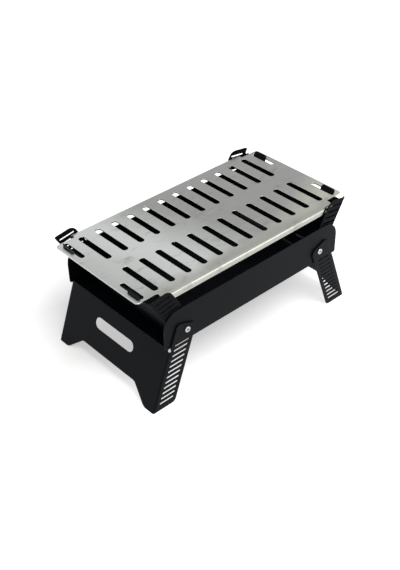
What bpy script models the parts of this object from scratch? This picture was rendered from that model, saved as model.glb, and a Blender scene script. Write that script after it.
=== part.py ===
"""Folding camp grill of bent sheet steel, standing open.

A trough holds the charcoal. Two U-bent legs and two U-bent end walls turn on four blind rivets
through the trough's long panels, and a slotted stainless plate hooks over the tabs of the end walls.
Metres, +Z up. X runs along the grill, the origin is on the ground under its middle.
"""

import bpy
import bmesh
from math import cos, pi, radians, sin, tan
from mathutils import Matrix, Vector

# Sheet steel and the layers at a pivot, counted from the middle plane outwards
SHEET = 0.0015
BEND = 0.0015
LAYER_GAP = 0.0011
PANEL_OUT = 0.1115
LEG_OUT = PANEL_OUT + LAYER_GAP + SHEET
EAR_OUT = PANEL_OUT - SHEET - LAYER_GAP
EAR_IN = EAR_OUT - SHEET
SEAT = 0.0003

# Pivots
PIVOT_X = 0.1366
PIVOT_Z = 0.1192
PIVOT_HOLE = 0.00275

# Trough
TROUGH_HALF_LENGTH = 0.1765
TROUGH_BOTTOM = 0.0976
TROUGH_TOP = 0.1588
TROUGH_TOP_CORNER = 0.026
TROUGH_LOW_CORNER = 0.004
FLOOR_HALF_LENGTH = 0.1705

# Legs, measured from the pivot with the leg upright: X outwards, Z up the leg
LEG_LEAN = radians(20.3)
LEG_FACE = 0.0236
LEG_TOP = -0.0326
FLANGE_INNER = -0.0153
FLANGE_OUTER = 0.0222
FLANGE_TOP = 0.0102
FLANGE_CORNER = 0.009
FOOT_CORNER = 0.008
LEG_RELIEF = 0.0020
HAND_SLOT = (0.0887, 0.0188)
HAND_SLOT_Z = -0.0658
ARCH_FOOT_Y = 0.0925
ARCH_TOP_Y = 0.0620
ARCH_HEIGHT = 0.0264
ARCH_ROUND = 0.010
ARCH_FOOT_ROUND = 0.016
LOUVRE = (0.0262, 0.0037)
LOUVRE_X = 0.0030
LOUVRE_FIRST = -0.0202
LOUVRE_PITCH = 0.00872
LOUVRE_COUNT = 12

# End walls, measured from the pivot with the wall upright: X outwards, Z up the wall
WALL_LEAN = radians(30)
WALL_FACE = 0.0158
WALL_BOTTOM = -0.0128
WALL_CORNER_TOP = 0.0906
WALL_CORNER_INNER = 0.1054
WALL_RELIEF = 0.0022
TAB_INNER = 0.061
TAB_OUTER = 0.087
TAB_TOP = 0.0935
TAB_ROUND = 0.004
VENT = (0.038, 0.0022)
VENT_Y = 0.0695
VENT_Z = 0.0030
EAR_EDGE = -0.0170
EAR_TOE = 0.008
EAR_BOTTOM = -0.0165
EAR_TOP_SLOPE = radians(21.5)
EAR_TOP_ROUND = 0.014
EAR_LOBE = 0.0145
EAR_SLOT = (0.0270, 0.0029)
EAR_SLOT_X = -0.0003
EAR_SLOT_FIRST = 0.0750
EAR_SLOT_PITCH = 0.0094
EAR_SLOT_COUNT = 4

# Grill plate
GRATE_SHEET = 0.002
GRATE_BEND = 0.0055
GRATE_TOP = 0.1875
GRATE_HALF_LENGTH = 0.2051
GRATE_BODY_HALF_LENGTH = 0.170
GRATE_HALF_WIDTH = 0.1055
GRATE_TONGUE_HALF_WIDTH = 0.0930
GRATE_LIP = 0.0114
GRATE_CORNER = 0.006
COOKING_SLOT = (0.0718, 0.0084)
COOKING_SLOT_Y = 0.0511
COOKING_SLOT_PITCH = 0.030
COOKING_SLOT_COLUMNS = 12
END_SLOT = (0.0465, 0.0084)
END_SLOT_X = 0.1915
END_SLOT_Y = 0.0655

# Blind rivets and washers
RIVET_HEAD = 0.0048
RIVET_HEAD_HEIGHT = 0.0016
RIVET_SHANK = 0.0024
RIVET_BORE = 0.0015
RIVET_BULB = 0.0039
RIVET_BULB_LENGTH = 0.0040
MANDREL = 0.0012
MANDREL_HEAD = 0.0021
MANDREL_HEAD_LENGTH = 0.0022
MANDREL_RECESS = 0.0004
WASHER_BORE = 0.0028
SPACER_RADIUS = 0.0062
SPACER = 0.0005
BACKING_RADIUS = 0.0055
BACKING = 0.0010

# Facets
SLOT_STEPS = 7
SLIT_STEPS = 5
CORNER_STEPS = 5
TURN_STEPS = 18
HOLE_SIDES = 24
BEYOND = 0.02

# Placing of flat outlines: on edge seen from the side, or seen from the end
SIDE_VIEW = Matrix(((1, 0, 0), (0, 0, -1), (0, 1, 0))).to_4x4()
END_VIEW = Matrix(((0, 0, 1), (1, 0, 0), (0, 1, 0))).to_4x4()
TOP_VIEW = Matrix.Identity(4)

for old in list(bpy.data.objects):
    bpy.data.objects.remove(old)
GRILL = bpy.data.collections.new("folding_camp_grill")
CUTTERS = bpy.data.collections.new("cutters")
for group in (GRILL, CUTTERS):
    bpy.context.scene.collection.children.link(group)


def rounded(corners, steps=CORNER_STEPS):
    """Closed outline through (u, v) or (u, v, radius) corners, with an arc at each radius."""
    outline = []
    for place, (u, v, *radius) in enumerate(corners):
        corner = Vector((u, v))
        if not radius:
            outline.append(corner)
            continue
        back = (Vector(corners[place - 1][:2]) - corner).normalized()
        ahead = (Vector(corners[(place + 1) % len(corners)][:2]) - corner).normalized()
        half = back.angle(ahead) / 2
        reach = radius[0] / tan(half)
        centre = corner + (back + ahead).normalized() * radius[0] / sin(half)
        start = (corner + back * reach - centre).normalized()
        end = (corner + ahead * reach - centre).normalized()
        outline += [centre + radius[0] * start.slerp(end, step / steps) for step in range(steps + 1)]
    return outline


def slot(u, v, size, tilt=0.0, steps=SLOT_STEPS):
    """Round-ended slot outline of (length, width) about (u, v), turned by tilt."""
    length, width = size
    reach = (length - width) / 2
    turn = Matrix.Rotation(tilt, 2)
    outline = []
    for end in (1, -1):
        for step in range(steps + 1):
            angle = pi * step / steps - pi / 2
            point = Vector((reach + width / 2 * cos(angle), width / 2 * sin(angle)))
            outline.append(Vector((u, v)) + turn @ (end * point))
    return outline


def circle(u, v, radius):
    """Round hole outline."""
    angles = [2 * pi * side / HOLE_SIDES for side in range(HOLE_SIDES)]
    return [(u + radius * cos(angle), v + radius * sin(angle)) for angle in angles]


def channel(half_width, depth, sheet, bend):
    """Section of a U-bent sheet as (across, depth) points, depth counted from the web's outer face."""
    inner = half_width - sheet
    return rounded([
        (half_width, depth), (half_width, 0, bend + sheet), (-half_width, 0, bend + sheet),
        (-half_width, depth), (-inner, depth), (-inner, sheet, bend), (inner, sheet, bend), (inner, depth),
    ])


def tidy(mesh):
    """Weld a mesh's loose caps and point its faces outwards."""
    work = bmesh.new()
    work.from_mesh(mesh)
    bmesh.ops.remove_doubles(work, verts=work.verts, dist=1e-6)
    bmesh.ops.recalc_face_normals(work, faces=work.faces)
    work.to_mesh(mesh)
    work.free()
    return mesh


def bake(source):
    """Mesh of an object as its modifiers leave it."""
    bpy.context.view_layer.update()
    depsgraph = bpy.context.evaluated_depsgraph_get()
    return tidy(bpy.data.meshes.new_from_object(source.evaluated_get(depsgraph)))


def workpiece(name, data):
    """Object that only helps to make a part."""
    piece = bpy.data.objects.new(name, data)
    piece.hide_render = True
    piece.display_type = "WIRE"
    CUTTERS.objects.link(piece)
    return piece


def plate(name, outlines, thickness, view, offset=(0, 0, 0)):
    """Workpiece of flat outlines, inner ones open, with its thickness centred on the offset."""
    curve = bpy.data.curves.new(name, "CURVE")
    curve.dimensions = "2D"
    curve.fill_mode = "BOTH"
    curve.extrude = thickness / 2
    for outline in outlines:
        spline = curve.splines.new("POLY")
        spline.points.add(len(outline) - 1)
        spline.use_cyclic_u = True
        for point, (u, v) in zip(spline.points, outline):
            point.co = (u, v, 0, 1)
    drawing = workpiece(name + "_drawing", curve)
    mesh = bake(drawing)
    bpy.data.objects.remove(drawing)
    mesh.transform(Matrix.Translation(offset) @ view)
    return workpiece(name, mesh)


def carve(stock, keep=(), cut=()):
    """Mesh of the stock trimmed to each keep shape, then pierced by each cut shape."""
    for operation, tools in (("INTERSECT", keep), ("DIFFERENCE", cut)):
        for tool in tools:
            step = stock.modifiers.new(tool.name, "BOOLEAN")
            step.operation = operation
            step.solver = "EXACT"
            step.object = tool
    return bake(stock)


def turned(name, profile):
    """Mesh turned about Z from a (radius, height) profile that runs down its outer side."""
    count = len(profile)
    mesh = bpy.data.meshes.new(name)
    edges = [(place, (place + 1) % count) for place in range(count)]
    mesh.from_pydata([(radius, 0, height) for radius, height in profile], edges, [])
    blank = workpiece(name + "_profile", mesh)
    screw = blank.modifiers.new("turn", "SCREW")
    screw.steps = screw.render_steps = TURN_STEPS
    screw.use_merge_vertices = True
    screw.merge_threshold = 1e-5
    return bake(blank)


def finish(name, colour, roughness, metallic):
    """Material of a sub-part."""
    material = bpy.data.materials.new(name)
    material.use_nodes = True
    shader = material.node_tree.nodes["Principled BSDF"]
    shader.inputs["Base Color"].default_value = (*colour, 1)
    shader.inputs["Roughness"].default_value = roughness
    shader.inputs["Metallic"].default_value = metallic
    return material


def part(name, mesh, material, location=(0, 0, 0), rotation=(0, 0, 0)):
    """Named part of the grill; its origin is where it pivots or seats."""
    mesh.materials.clear()
    mesh.materials.append(material)
    mesh.shade_smooth()
    mesh.set_sharp_from_angle(angle=radians(35))
    piece = bpy.data.objects.new(name, mesh)
    piece.location = location
    piece.rotation_euler = rotation
    GRILL.objects.link(piece)
    return piece


def pivot_hole(name):
    """Cutter through both sides of a piece that turns on the pivot at its own origin."""
    return plate(name, [circle(0, 0, PIVOT_HOLE)], 2 * (LEG_OUT + BEYOND), SIDE_VIEW)


def trough_mesh():
    """Long panels and floor, bent from one sheet, with the floor ending short of the panels."""
    high = TROUGH_TOP - TROUGH_BOTTOM + BEYOND
    section = [(across, TROUGH_BOTTOM + depth) for across, depth in channel(PANEL_OUT, high, SHEET, BEND)]
    stock = plate("trough_sheet", [section], 2 * (TROUGH_HALF_LENGTH + BEYOND), END_VIEW)
    low = TROUGH_BOTTOM + SEAT
    long_panel = rounded([
        (-TROUGH_HALF_LENGTH, low, TROUGH_LOW_CORNER),
        (-FLOOR_HALF_LENGTH, low),
        (-FLOOR_HALF_LENGTH, low - BEYOND),
        (FLOOR_HALF_LENGTH, low - BEYOND),
        (FLOOR_HALF_LENGTH, low),
        (TROUGH_HALF_LENGTH, low, TROUGH_LOW_CORNER),
        (TROUGH_HALF_LENGTH, TROUGH_TOP, TROUGH_TOP_CORNER),
        (-TROUGH_HALF_LENGTH, TROUGH_TOP, TROUGH_TOP_CORNER),
    ])
    outline = plate("trough_outline", [long_panel], 2 * (PANEL_OUT + BEYOND), SIDE_VIEW)
    pivots = [circle(side * PIVOT_X, PIVOT_Z, PIVOT_HOLE) for side in (-1, 1)]
    holes = plate("trough_pivot_holes", pivots, 2 * (PANEL_OUT + BEYOND), SIDE_VIEW)
    inside = PANEL_OUT - SHEET - SEAT
    past = TROUGH_HALF_LENGTH + BEYOND
    floor_ends = plate("trough_floor_ends", [
        rounded([
            (side * FLOOR_HALF_LENGTH, -inside, BEND), (side * past, -inside),
            (side * past, inside), (side * FLOOR_HALF_LENGTH, inside, BEND),
        ])
        for side in (-1, 1)
    ], 2 * BEND + 4 * SHEET, TOP_VIEW, (0, 0, TROUGH_BOTTOM))
    return carve(stock, [outline], [floor_ends, holes])


def leg_mesh():
    """Leg upright on its pivot: arched end panel with a hand slot, and two louvred flanges."""
    flange_depth = LEG_FACE - FLANGE_INNER + BEYOND
    section = [(LEG_FACE - depth, across) for across, depth in channel(LEG_OUT, flange_depth, SHEET, BEND)]
    stock = plate("leg_sheet", [section], 0.4, TOP_VIEW)

    def ground(x):
        return -(PIVOT_Z + x * sin(LEG_LEAN)) / cos(LEG_LEAN)

    clear = LEG_FACE + BEYOND
    flange = rounded([
        (FLANGE_INNER, ground(FLANGE_INNER), FOOT_CORNER),
        (clear, ground(clear)),
        (clear, LEG_TOP + BEND),
        (FLANGE_OUTER, LEG_TOP + BEND),
        (FLANGE_OUTER, FLANGE_TOP, FLANGE_CORNER),
        (FLANGE_INNER, FLANGE_TOP, FLANGE_CORNER),
    ])
    side_outline = plate("leg_side_outline", [flange], 2 * (LEG_OUT + BEYOND), SIDE_VIEW)

    foot = ground(LEG_FACE)
    inside = LEG_OUT - SHEET
    wide = LEG_OUT + BEYOND
    half_front = [
        (ARCH_TOP_Y, foot + ARCH_HEIGHT, ARCH_ROUND), (ARCH_FOOT_Y, foot - SEAT, ARCH_FOOT_ROUND),
        (wide, foot - SEAT), (wide, FLANGE_TOP + BEYOND), (inside, FLANGE_TOP + BEYOND), (inside, LEG_TOP),
    ]
    front = half_front + [(-y, *rest) for y, *rest in reversed(half_front)]
    end_outline = plate("leg_end_outline", [rounded(front)], 0.2, END_VIEW)

    hand_slot = plate("leg_hand_slot", [slot(0, HAND_SLOT_Z, HAND_SLOT)], 0.2, END_VIEW)
    louvres = plate("leg_louvres", [
        slot(LOUVRE_X, LOUVRE_FIRST - row * LOUVRE_PITCH, LOUVRE, -LEG_LEAN, SLIT_STEPS)
        for row in range(LOUVRE_COUNT)
    ], 2 * (LEG_OUT + BEYOND), SIDE_VIEW)
    relief = [circle(LEG_FACE - SHEET, LEG_TOP, LEG_RELIEF)]
    reliefs = [
        plate("leg_relief", relief, 3 * (BEND + SHEET), SIDE_VIEW, (0, side * LEG_OUT, 0)) for side in (-1, 1)
    ]
    pivots = pivot_hole("leg_pivot_hole")
    return carve(stock, [side_outline, end_outline], [hand_slot, louvres, pivots, *reliefs])


def wall_mesh():
    """End wall upright on its pivot: panel with two tabs and two low vents, and two slotted ears."""
    ear_depth = WALL_FACE - EAR_EDGE + BEYOND
    section = [(WALL_FACE - depth, across) for across, depth in channel(EAR_OUT, ear_depth, SHEET, BEND)]
    stock = plate("wall_sheet", [section], 0.3, TOP_VIEW)

    clear = WALL_FACE + BEYOND
    crest = WALL_FACE - SHEET - SEAT
    ear_top = WALL_CORNER_TOP - (crest - EAR_EDGE) * tan(EAR_TOP_SLOPE)
    ear = rounded([
        (EAR_EDGE, EAR_BOTTOM, EAR_LOBE),
        (EAR_TOE, EAR_BOTTOM),
        (WALL_FACE, WALL_BOTTOM),
        (clear, WALL_BOTTOM),
        (clear, TAB_TOP + BEYOND),
        (crest, TAB_TOP + BEYOND),
        (crest, WALL_CORNER_TOP),
        (EAR_EDGE, ear_top, EAR_TOP_ROUND),
    ])
    side_outline = plate("wall_side_outline", [ear], 2 * (EAR_OUT + BEYOND), SIDE_VIEW)

    under_grate = GRATE_TOP - GRATE_SHEET - 2 * SEAT - PIVOT_Z
    wall_top = (under_grate + (WALL_FACE - SHEET) * sin(WALL_LEAN)) / cos(WALL_LEAN)
    wide = EAR_OUT + BEYOND
    relief_floor = wall_top - WALL_RELIEF
    relief_inner = WALL_CORNER_INNER - 2 * WALL_RELIEF
    half_front = [
        (EAR_IN, WALL_BOTTOM), (EAR_IN, EAR_BOTTOM - BEYOND), (wide, EAR_BOTTOM - BEYOND),
        (wide, WALL_CORNER_TOP), (WALL_CORNER_INNER, WALL_CORNER_TOP),
        (WALL_CORNER_INNER, relief_floor, 0.9 * WALL_RELIEF), (relief_inner, relief_floor, 0.9 * WALL_RELIEF),
        (relief_inner, wall_top), (TAB_OUTER, wall_top), (TAB_OUTER, TAB_TOP, TAB_ROUND),
        (TAB_INNER, TAB_TOP, TAB_ROUND), (TAB_INNER, wall_top),
    ]
    front = half_front + [(-y, *rest) for y, *rest in reversed(half_front)]
    end_outline = plate("wall_end_outline", [rounded(front)], 0.2, END_VIEW)

    vents = plate("wall_vents", [
        slot(side * VENT_Y, VENT_Z, VENT, 0, SLIT_STEPS) for side in (-1, 1)
    ], 0.2, END_VIEW)
    ear_slots = plate("wall_ear_slots", [
        slot(EAR_SLOT_X, EAR_SLOT_FIRST - row * EAR_SLOT_PITCH, EAR_SLOT, EAR_TOP_SLOPE, SLIT_STEPS)
        for row in range(EAR_SLOT_COUNT)
    ], 2 * (EAR_OUT + BEYOND), SIDE_VIEW)
    pivots = pivot_hole("wall_pivot_hole")
    return carve(stock, [side_outline, end_outline], [vents, ear_slots, pivots])


def grate_mesh():
    """Slotted plate about its own top face: long edges bent down, tongues at both ends."""
    section = [(across, -depth)
               for across, depth in channel(GRATE_HALF_WIDTH, GRATE_LIP, GRATE_SHEET, GRATE_BEND)]
    stock = plate("grate_sheet", [section], 2 * (GRATE_HALF_LENGTH + BEYOND), END_VIEW)
    wide = GRATE_HALF_WIDTH + BEYOND
    quarter = [
        (GRATE_HALF_LENGTH, GRATE_TONGUE_HALF_WIDTH, GRATE_CORNER),
        (GRATE_BODY_HALF_LENGTH, GRATE_TONGUE_HALF_WIDTH, GRATE_SHEET),
        (GRATE_BODY_HALF_LENGTH, wide),
    ]
    half = quarter + [(-x, *rest) for x, *rest in reversed(quarter)]
    outlines = [rounded(half + [(x, -y, *rest) for x, y, *rest in reversed(half)])]
    for column in range(COOKING_SLOT_COLUMNS):
        x = (column - (COOKING_SLOT_COLUMNS - 1) / 2) * COOKING_SLOT_PITCH
        outlines += [slot(x, side * COOKING_SLOT_Y, COOKING_SLOT, pi / 2) for side in (-1, 1)]
    for end in (-1, 1):
        outlines += [slot(end * END_SLOT_X, side * END_SLOT_Y, END_SLOT, pi / 2) for side in (-1, 1)]
    pattern = plate("grate_pattern", outlines, 0.1, TOP_VIEW)
    return carve(stock, [pattern])


def ring(name, radius, height):
    """Flat washer standing on its own origin."""
    return turned(name, [(WASHER_BORE, height), (radius, height), (radius, 0), (WASHER_BORE, 0)])


# Trough
powder_coat = finish("powder_coated_steel", (0.018, 0.019, 0.020), 0.5, 0.0)
part("firebox_trough", trough_mesh(), powder_coat)

# Legs and end walls, each pair from one mesh turned half a turn about Z
leg = leg_mesh()
wall = wall_mesh()
for side, end in (("left", -1), ("right", 1)):
    half_turn = pi if end < 0 else 0
    pivot = (end * PIVOT_X, 0, PIVOT_Z)
    part(side + "_leg", leg, powder_coat, pivot, (0, -LEG_LEAN, half_turn))
    part(side + "_end_wall", wall, powder_coat, pivot, (0, WALL_LEAN, half_turn))

# Grill plate
stainless = finish("brushed_stainless", (0.55, 0.54, 0.51), 0.35, 1.0)
part("grill_plate", grate_mesh(), stainless, (0, 0, GRATE_TOP))

# Pivot hardware, with heights along the pivot axis counted outwards from the middle plane
head_seat = LEG_OUT + SEAT
head_top = head_seat + RIVET_HEAD_HEIGHT
backing_seat = EAR_IN - SEAT - BACKING
bulb_top = backing_seat - SEAT
tail = bulb_top - RIVET_BULB_LENGTH
rivet = turned("pivot_rivet", rounded([
    (RIVET_BORE, head_top), (RIVET_HEAD, head_top, RIVET_HEAD_HEIGHT * 0.8), (RIVET_HEAD, head_seat),
    (RIVET_SHANK, head_seat), (RIVET_SHANK, bulb_top), (RIVET_BULB, bulb_top, RIVET_BULB - RIVET_SHANK),
    (RIVET_BULB, tail, RIVET_BULB - RIVET_SHANK), (RIVET_BORE, tail),
], 3))
mandrel_seat = tail - SEAT
mandrel = turned("rivet_mandrel", rounded([
    (0, head_top - MANDREL_RECESS), (MANDREL, head_top - MANDREL_RECESS), (MANDREL, mandrel_seat),
    (MANDREL_HEAD, mandrel_seat), (MANDREL_HEAD, mandrel_seat - MANDREL_HEAD_LENGTH, MANDREL_HEAD * 0.7),
    (0, mandrel_seat - MANDREL_HEAD_LENGTH),
], 3))
spacer = ring("spacer_washer", SPACER_RADIUS, SPACER)
backing = ring("backing_washer", BACKING_RADIUS, BACKING)
zinc = finish("zinc_plated_steel", (0.60, 0.60, 0.60), 0.3, 1.0)
mandrel_steel = finish("mandrel_steel", (0.32, 0.32, 0.33), 0.4, 1.0)
leg_spacer_seat = PANEL_OUT + (LAYER_GAP - SPACER) / 2
wall_spacer_seat = EAR_OUT + (LAYER_GAP - SPACER) / 2
for depth, row in (("front", -1), ("back", 1)):
    axis_out = (-row * pi / 2, 0, 0)
    for side, end in (("left", -1), ("right", 1)):
        corner = f"{depth}_{side}"
        x = end * PIVOT_X
        for name, mesh, material, height in (
            ("pivot_rivet_", rivet, zinc, 0),
            ("rivet_mandrel_", mandrel, mandrel_steel, 0),
            ("leg_spacer_", spacer, zinc, leg_spacer_seat),
            ("wall_spacer_", spacer, zinc, wall_spacer_seat),
            ("backing_washer_", backing, zinc, backing_seat),
        ):
            part(name + corner, mesh, material, (x, row * height, PIVOT_Z), axis_out)
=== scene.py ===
from math import radians

import bpy
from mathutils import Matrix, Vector


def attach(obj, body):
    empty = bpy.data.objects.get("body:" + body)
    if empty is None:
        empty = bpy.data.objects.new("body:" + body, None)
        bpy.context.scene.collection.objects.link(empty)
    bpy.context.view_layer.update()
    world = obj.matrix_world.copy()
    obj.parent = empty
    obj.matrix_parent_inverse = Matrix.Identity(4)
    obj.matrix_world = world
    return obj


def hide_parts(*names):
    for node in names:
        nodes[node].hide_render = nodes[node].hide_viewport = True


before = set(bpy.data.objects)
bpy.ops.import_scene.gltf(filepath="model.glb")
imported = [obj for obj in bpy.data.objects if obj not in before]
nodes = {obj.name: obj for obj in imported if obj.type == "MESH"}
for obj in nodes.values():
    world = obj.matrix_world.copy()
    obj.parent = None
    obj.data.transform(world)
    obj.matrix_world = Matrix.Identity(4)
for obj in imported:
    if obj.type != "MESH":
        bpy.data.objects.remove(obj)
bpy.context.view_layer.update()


# Firebox trough
# One sheet of steel bent up into two long panels with the charcoal floor between them.
# It is powder-coated black and baked, so the satin coat has a fine orange peel and thins on cut edges.
class Tone:
    """A shader socket. Arithmetic on it adds the Math nodes that work it out."""

    def __init__(self, socket):
        self.socket = socket

    def node(self, kind, settings=None, sockets=None, out=0):
        """Output of a new node in the same tree, its settings made first and its sockets filled after."""
        tree = self.socket.id_data
        made = tree.nodes.new("ShaderNode" + kind)
        for key, value in (settings or {}).items():
            if key == "stops":
                elements = made.color_ramp.elements
                for element, (position, level) in zip(elements, value):
                    element.position = position
                    element.color = (level, level, level, 1)
            else:
                setattr(made, key, value)
        for key, value in (sockets or {}).items():
            if isinstance(value, Tone):
                tree.links.new(value.socket, made.inputs[key])
            else:
                made.inputs[key].default_value = value
        return Tone(made.outputs[out])

    def maths(self, operation, first, second):
        """Output of a Math node on two values, either of which may be a plain number."""
        return self.node("Math", {"operation": operation}, {0: first, 1: second})

    def __add__(self, other):
        return self.maths("ADD", self, other)

    def __sub__(self, other):
        return self.maths("SUBTRACT", self, other)

    def __rsub__(self, other):
        return self.maths("SUBTRACT", other, self)

    def __mul__(self, other):
        return self.maths("MULTIPLY", self, other)

    __radd__ = __add__
    __rmul__ = __mul__


def noise(place, scale, detail=2.0, roughness=0.5):
    """Soft cloud over the surface, its features 1/scale metres across."""
    sockets = {"Vector": place, "Scale": scale, "Detail": detail, "Roughness": roughness}
    return place.node("TexNoise", None, sockets)


def stretched(place, shift, turn, scale):
    """Surface coordinates moved, turned and drawn out along one direction."""
    return place.node("Mapping", None, {"Vector": place, "Location": shift, "Rotation": turn, "Scale": scale})


def patches(field, low, high):
    """Part of a field between two levels, spread to run from 0 to 1."""
    return field.node("ValToRGB", {"stops": ((low, 0), (high, 1))}, {"Fac": field})


def mixed(mask, low, high):
    """Colour that goes from low to high as the mask rises."""
    return mask.node("Mix", {"data_type": "RGBA"}, {0: mask, 6: low, 7: high}, out=2)


def new_finish(name):
    """Material with its shader and the coordinates of the piece it covers."""
    material = bpy.data.materials.new(name)
    material.use_nodes = True
    shader = material.node_tree.nodes["Principled BSDF"]
    place = Tone(material.node_tree.nodes.new("ShaderNodeTexCoord").outputs["Object"])
    return material, shader, place


def feed(shader, **sockets):
    """Link worked-out tones to the shader's sockets, an underscore standing for a space."""
    for name, tone in sockets.items():
        tone.socket.id_data.links.new(tone.socket, shader.inputs[name.replace("_", " ")])


COAT_BLACK = (0.0014, 0.0022, 0.0038, 1)
COAT_DUSTY = (0.0048, 0.0057, 0.0070, 1)
COAT_SCUFF = (0.0300, 0.0300, 0.0300, 1)
COAT_GLOSS = 0.070
COAT_ROUGHNESS = 0.44
EDGE_COATED = (0.0090, 0.0095, 0.0105, 1)
EDGE_RUBBED = (0.0340, 0.0340, 0.0340, 1)


def powder_coat(name, shift, roughness=COAT_ROUGHNESS):
    """Satin black powder coat with orange peel, dust in clouds and a few fine scuffs."""
    material, shader, place = new_finish(name)
    shader.inputs["Specular IOR Level"].default_value = COAT_GLOSS
    here = stretched(place, shift, (0, 0, 0), (1, 1, 1))
    peel = noise(here, 700, 1.5)
    grit = noise(here, 3200, 1.0)
    cloud = noise(here, 16, 4.0, 0.6)
    dust = patches(cloud, 0.42, 0.78)
    lines = noise(stretched(here, (0, 0, 0), (0.5, 0.3, 0.4), (9, 420, 420)), 1.0, 3.0)
    spread = patches(noise(here, 23, 2.0), 0.55, 0.70)
    scuff = patches(lines, 0.66, 0.72) * spread
    colour = mixed(dust * 0.5, COAT_BLACK, COAT_DUSTY)
    height = peel + grit * 0.35
    feed(
        shader,
        Base_Color=mixed(scuff * 0.5, colour, COAT_SCUFF),
        Roughness=roughness + cloud * 0.12 + scuff * 0.1,
        Normal=place.node("Bump", None, {"Strength": 0.35, "Distance": 0.00006, "Height": height}),
    )
    return material


def worn_edge(name):
    """Cut edge of a coated sheet, where the coat is thin and rubbed."""
    material, shader, place = new_finish(name)
    shader.inputs["Specular IOR Level"].default_value = COAT_GLOSS
    rub = patches(noise(place, 90, 4.0, 0.65), 0.45, 0.70)
    feed(
        shader,
        Base_Color=mixed(rub, EDGE_COATED, EDGE_RUBBED),
        Roughness=0.42 - rub * 0.08,
    )
    return material


smooth_bends = bpy.data.node_groups.new("smooth_bends", "GeometryNodeTree")
for direction in ("INPUT", "OUTPUT"):
    smooth_bends.interface.new_socket("Geometry", in_out=direction, socket_type="NodeSocketGeometry")
sheet_in = smooth_bends.nodes.new("NodeGroupInput")
smoothing = smooth_bends.nodes.new("GeometryNodeSetShadeSmooth")
sheet_out = smooth_bends.nodes.new("NodeGroupOutput")
smooth_bends.links.new(sheet_in.outputs[0], smoothing.inputs[0])
smooth_bends.links.new(smoothing.outputs[0], sheet_out.inputs[0])


FACET_GAP = 0.00001
DEBURR_ANGLE = radians(50)


def join_facets(piece):
    """Join a piece's loose facets into one skin."""
    weld = piece.modifiers.new("joined_facets", "WELD")
    weld.merge_threshold = FACET_GAP


def shade_bends(piece):
    """Shade a piece's bends as curves and its flats as flat."""
    piece.modifiers.new("smooth_bends", "NODES").node_group = smooth_bends
    even = piece.modifiers.new("even_flats", "WEIGHTED_NORMAL")
    even.weight = 100
    even.keep_sharp = False


def dress(piece, finish, edge_finish, edge_radius):
    """Give a piece of sheet metal its finish, and round its cut edges as deburring leaves them."""
    piece.material_slots[0].material = finish
    piece.data.materials.append(edge_finish)
    join_facets(piece)
    deburr = piece.modifiers.new("deburred_edges", "BEVEL")
    deburr.width = edge_radius
    deburr.segments = 2
    deburr.limit_method = "ANGLE"
    deburr.angle_limit = DEBURR_ANGLE
    deburr.use_clamp_overlap = False
    deburr.material = 1
    shade_bends(piece)


COAT_EDGE_RADIUS = 0.00025
coat_edge = worn_edge("rubbed_coat_edge")
trough_coat = powder_coat("trough_powder_coat", (0.31, 0.17, 0.05))
dress(nodes["firebox_trough"], trough_coat, coat_edge, COAT_EDGE_RADIUS)


# Legs
# Two sheets bent to a U, each an arched end panel with a hand slot between two louvred flanges.
# The slits are cut before bending, then the whole leg is powder-coated black like the trough.
for leg, shift in (("left_leg", (1.13, 0.41, 0.27)), ("right_leg", (2.29, 0.77, 0.61))):
    dress(nodes[leg], powder_coat(leg + "_powder_coat", shift), coat_edge, COAT_EDGE_RADIUS)


# End walls
# Two sheets bent to a U that lean outwards and close the ends of the charcoal trough.
# Their slotted ears hang on the same rivets as the legs, and heat has dulled their black powder coat.
WALL_ROUGHNESS = 0.60
for wall, shift in (("left_end_wall", (3.37, 1.09, 0.93)), ("right_end_wall", (4.51, 1.43, 1.31))):
    coat = powder_coat(wall + "_powder_coat", shift, WALL_ROUGHNESS)
    dress(nodes[wall], coat, coat_edge, COAT_EDGE_RADIUS)


# Pivot hardware
# Four blind rivets, each with its broken-off mandrel, two thin spacers and a backing washer.
# They are zinc-plated steel, turned or stamped, and hold leg, trough and wall in separate layers.
ZINC = (0.52, 0.52, 0.51, 1)
ZINC_DULL = (0.34, 0.35, 0.36, 1)
STEM = (0.30, 0.30, 0.31, 1)
STEM_DARK = (0.10, 0.10, 0.105, 1)
ZINC_ROUGHNESS = 0.24
STEM_ROUGHNESS = 0.35


def plated(name, bright, dull, roughness):
    """Plated or bare small metal, with dull patches and turning marks."""
    material, shader, place = new_finish(name)
    shader.inputs["Metallic"].default_value = 1.0
    tarnish = patches(noise(place, 420, 3.0, 0.6), 0.40, 0.70)
    marks = noise(place, 4200, 1.0)
    feed(
        shader,
        Base_Color=mixed(tarnish, bright, dull),
        Roughness=roughness + tarnish * 0.18,
        Normal=place.node("Bump", None, {"Strength": 0.2, "Distance": 0.00003, "Height": marks}),
    )
    return material


zinc = plated("zinc_plate", ZINC, ZINC_DULL, ZINC_ROUGHNESS)
stem = plated("drawn_stem_steel", STEM, STEM_DARK, STEM_ROUGHNESS)
for corner in ("front_left", "front_right", "back_left", "back_right"):
    for piece, finish in (
        ("pivot_rivet_", zinc), ("leg_spacer_", zinc), ("wall_spacer_", zinc),
        ("backing_washer_", zinc), ("rivet_mandrel_", stem),
    ):
        nodes[piece + corner].material_slots[0].material = finish
        join_facets(nodes[piece + corner])
        shade_bends(nodes[piece + corner])


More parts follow.
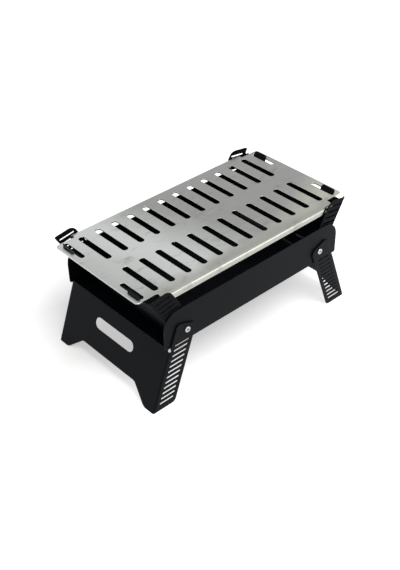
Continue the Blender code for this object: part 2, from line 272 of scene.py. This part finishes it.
# Grill plate
# One sheet of stainless steel with two rows of laser-cut slots and its long edges bent down.
# Brushed along its length, smudged and scratched, it hooks over the tabs; its colour holds a painted
# reflection, lighter over its left part and dimmer in the middle.
# The walls of its slots are painted black as shade.
# The lighter steel tone paints a reflection over the plate's left part; the dimmer one is the plate away from
# it.
STEEL_PAINTED_SHEEN = (0.560, 0.580, 0.566, 1)
STEEL_DIM = (0.284, 0.290, 0.282, 1)
# The warm steel tone paints a reflection at the plate's right front.
STEEL_WARM_SHEEN = (0.550, 0.550, 0.440, 1)
# The darker front tone paints shade along the plate's front strip and bend.
STEEL_FRONT_SHADE = (0.330, 0.332, 0.305, 1)
STEEL_SMUDGE = (0.130, 0.130, 0.122, 1)
STEEL_EDGE = (0.62, 0.62, 0.60, 1)
# Painted shade: near-black for the walls of the slots.
STEEL_SLOT_SHADE = (0.010, 0.010, 0.010, 1)
SLOT_SHADE_ALONG = (0.1970, 0.2012)
SLOT_SHADE_ACROSS = (0.0889, 0.0917)
PLATE_EDGE_RADIUS = 0.0003


def across_plate(place, direction, drift):
    """Distance over the plate in one direction, 0.5 at its middle, with a wandering border."""
    run = place.node("VectorMath", {"operation": "DOT_PRODUCT"}, {0: place, 1: direction}, out="Value")
    return 0.47 + run + drift * 0.06


def short_of(run, near, far):
    """1 about the plate's middle line, falling to 0 between two distances from it."""
    share = run * (1 / far)
    return 1 - patches(share * share, (near / far) ** 2, 1)


plate_steel, shader, place = new_finish("brushed_plate_steel")
shader.inputs["Metallic"].default_value = 1.0
grain = noise(stretched(place, (0, 0, 0), (0, 0, 0), (16, 1500, 1500)), 1.0, 3.0, 0.6)
cloud = noise(place, 11, 4.0, 0.55)
smudge = patches(noise(stretched(place, (0.2, 0.6, 0), (0, 0, 0.5), (30, 60, 60)), 1.0, 6.0, 0.7), 0.55, 0.72)
handled = patches(noise(place, 19, 2.0), 0.46, 0.60)
scratch = handled * sum(
    patches(noise(stretched(place, (turn, 0.1, 0), (0, 0, turn), (14, 900, 900)), 1.0, 2.0), 0.64, 0.70)
    for turn in (0.9, -0.5)
)
lengthways = across_plate(place, (1.0, 0.4, 0), cloud)
# Painted reflection: a band over the left part is lighter, and the middle stays dimmer.
painted_sheen = patches(lengthways, 0.20, 0.37) * (1 - patches(lengthways, 0.40, 0.50))
# Painted reflection: the right front is warmer and lighter.
warm_sheen = patches(across_plate(place, (0.35, -1.0, 0), cloud), 0.59, 0.66)
# Painted shade: the front strip and bend are darkened, toning down the bend's highlight.
front_shade = patches(across_plate(place, (0, -1.0, 0), cloud), 0.578, 0.600)
colour = mixed(warm_sheen, mixed(painted_sheen, STEEL_DIM, STEEL_PAINTED_SHEEN), STEEL_WARM_SHEEN)
colour = mixed(front_shade, colour, STEEL_FRONT_SHADE)
colour = mixed(grain * 0.10 + scratch * 0.30, colour, STEEL_EDGE)
colour = mixed(smudge * 0.45, colour, STEEL_SMUDGE)
along, across = (place.node("SeparateXYZ", None, {0: place}, out=axis) for axis in "XY")
facing = place.node("NewGeometry", out="True Normal")
upward = place.node("SeparateXYZ", None, {0: facing}, out="Z")
# Painted shade: upright faces within the slot rows are darkened and roughened.
within_slots = short_of(along, *SLOT_SHADE_ALONG) * short_of(across, *SLOT_SHADE_ACROSS)
slot_shade = within_slots * (1 - patches(upward * upward, 0.20, 0.60))
feed(
    shader,
    Base_Color=mixed(slot_shade, colour, STEEL_SLOT_SHADE),
    Roughness=0.20 + cloud * 0.08 + smudge * 0.12 + grain * 0.06 - scratch * 0.05 + slot_shade * 0.4,
    Normal=place.node(
        "Bump", None, {"Strength": 0.25, "Distance": 0.00004, "Height": grain + scratch * 0.6}
    ),
)

plate_edge, shader, place = new_finish("cut_plate_edge")
shader.inputs["Metallic"].default_value = 1.0
melt = noise(place, 1800, 2.0)
shader.inputs["Base Color"].default_value = STEEL_EDGE
feed(shader, Roughness=0.22 + melt * 0.15)

SLOT_PITCH = 0.030
NODE_SLOT_WIDTH = 0.0084
SLOT_WIDTH = 0.0102
SLOT_ROWS_END = 0.1725
SLOT_ROWS_SIDE = 0.0905

# A copy of the node's sheet, its cooking slots opened to their full width about their middle lines.
plate = bpy.data.objects.new("slotted_plate", nodes["grill_plate"].data.copy())
bpy.context.scene.collection.objects.link(plate)
for point in plate.data.vertices:
    if abs(point.co.x) < SLOT_ROWS_END and abs(point.co.y) < SLOT_ROWS_SIDE:
        middle = (point.co.x // SLOT_PITCH + 0.5) * SLOT_PITCH
        point.co.x = middle + (point.co.x - middle) * SLOT_WIDTH / NODE_SLOT_WIDTH
dress(plate, plate_steel, plate_edge, PLATE_EDGE_RADIUS)
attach(plate, "grate_body")
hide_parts("grill_plate")


# Floor and studio
# A white sweep that keeps the grill's soft shadow, under two large soft boxes; its glow is painted dimmer
# around and behind the grill, so the shadow there is partly painted shadow.
# Camera and mirror rays see white behind it all, and the lamps light the grill at a plain level.
FLOOR_SIZE = 8.0
FLOOR_WHITE = (0.80, 0.80, 0.80, 1)
# The dimmer glow paints shadow on the floor around and behind the grill.
GLOW_IN_PAINTED_SHADOW = (0.47, 0.47, 0.47, 1)
GLOW_FAR = (1, 1, 1, 1)
UNLIT = (0, 0, 0, 1)
GRILL_MIDDLE = (0, 0, 0)
BEHIND_GRILL = (0, 0.25, 0)

bpy.ops.mesh.primitive_plane_add(size=FLOOR_SIZE)
floor = bpy.context.object
floor.name = "studio_floor"
paper, shader, place = new_finish("white_paper")
shader.inputs["Base Color"].default_value = FLOOR_WHITE
shader.inputs["Roughness"].default_value = 0.9
shader.inputs["Specular IOR Level"].default_value = 0.0
shader.inputs["Emission Strength"].default_value = 1.0


def seen_directly(tone):
    """1 for rays from the eye, by way of a mirror or glass too, and 0 for rays that gather light."""
    names = ("Is Camera Ray", "Is Glossy Ray", "Is Transmission Ray")
    rays = [tone.node("LightPath", out=name) for name in names]
    return tone.maths("MAXIMUM", rays[0], tone.maths("MAXIMUM", rays[1], rays[2]))


def away_from(place, point, near, far):
    """0 on the floor around a point, rising to 1 between two distances from it."""
    distance = place.node("VectorMath", {"operation": "DISTANCE"}, {0: place, 1: point}, out="Value")
    return patches(distance, near, far)


# Painted shadow: the floor glows less around the grill and behind it, deepening its real soft shadow there.
clear_of_painted_shadow = place.maths(
    "MAXIMUM",
    away_from(place, GRILL_MIDDLE, 0.22, 0.42),
    away_from(place, BEHIND_GRILL, 0.28, 0.50),
)
glow_with_painted_shadow = mixed(clear_of_painted_shadow, GLOW_IN_PAINTED_SHADOW, GLOW_FAR)
feed(shader, Emission_Color=mixed(seen_directly(place), UNLIT, glow_with_painted_shadow))
floor.data.materials.append(paper)

SKY_LIGHT = 0.30
sky = bpy.data.worlds.new("studio_sky")
sky.use_nodes = True
bpy.context.scene.world = sky
backdrop = sky.node_tree.nodes["Background"]
backdrop.inputs["Color"].default_value = (1, 1, 1, 1)
seen = seen_directly(Tone(backdrop.outputs[0]))
feed(backdrop, Strength=SKY_LIGHT + seen * (1 - SKY_LIGHT))


LAMP_AIM = Vector((0, 0, 0.12))


def soft_box(name, location, size, power, colour):
    """Square lamp that faces the middle of the grill."""
    lamp = bpy.data.lights.new(name, "AREA")
    lamp.size = size
    lamp.energy = power
    lamp.color = colour
    stand = bpy.data.objects.new(name, lamp)
    stand.location = location
    stand.rotation_euler = (LAMP_AIM - Vector(location)).to_track_quat("-Z", "Y").to_euler()
    bpy.context.scene.collection.objects.link(stand)


soft_box("front_box", (-0.2, -1.15, 1.95), 1.0, 26, (1.0, 0.99, 0.98))
soft_box("low_box", (1.15, -1.75, 0.62), 0.8, 6, (1.0, 1.0, 0.98))


# Camera
# It stands at the photograph's place, above the grill's left front corner.
CAMERA_PLACE = (-0.7795, -0.8669, 0.9406)
CAMERA_TURN = (53.014, 0.943, -42.290)
CAMERA_LENS = 58.48

eye = bpy.data.cameras.new("camera")
eye.lens = CAMERA_LENS
eye.sensor_width = 36
camera = bpy.data.objects.new("camera", eye)
camera.location = CAMERA_PLACE
camera.rotation_euler = [radians(angle) for angle in CAMERA_TURN]
bpy.context.scene.collection.objects.link(camera)
bpy.context.scene.camera = camera
bpy.context.scene.view_settings.view_transform = "Standard"
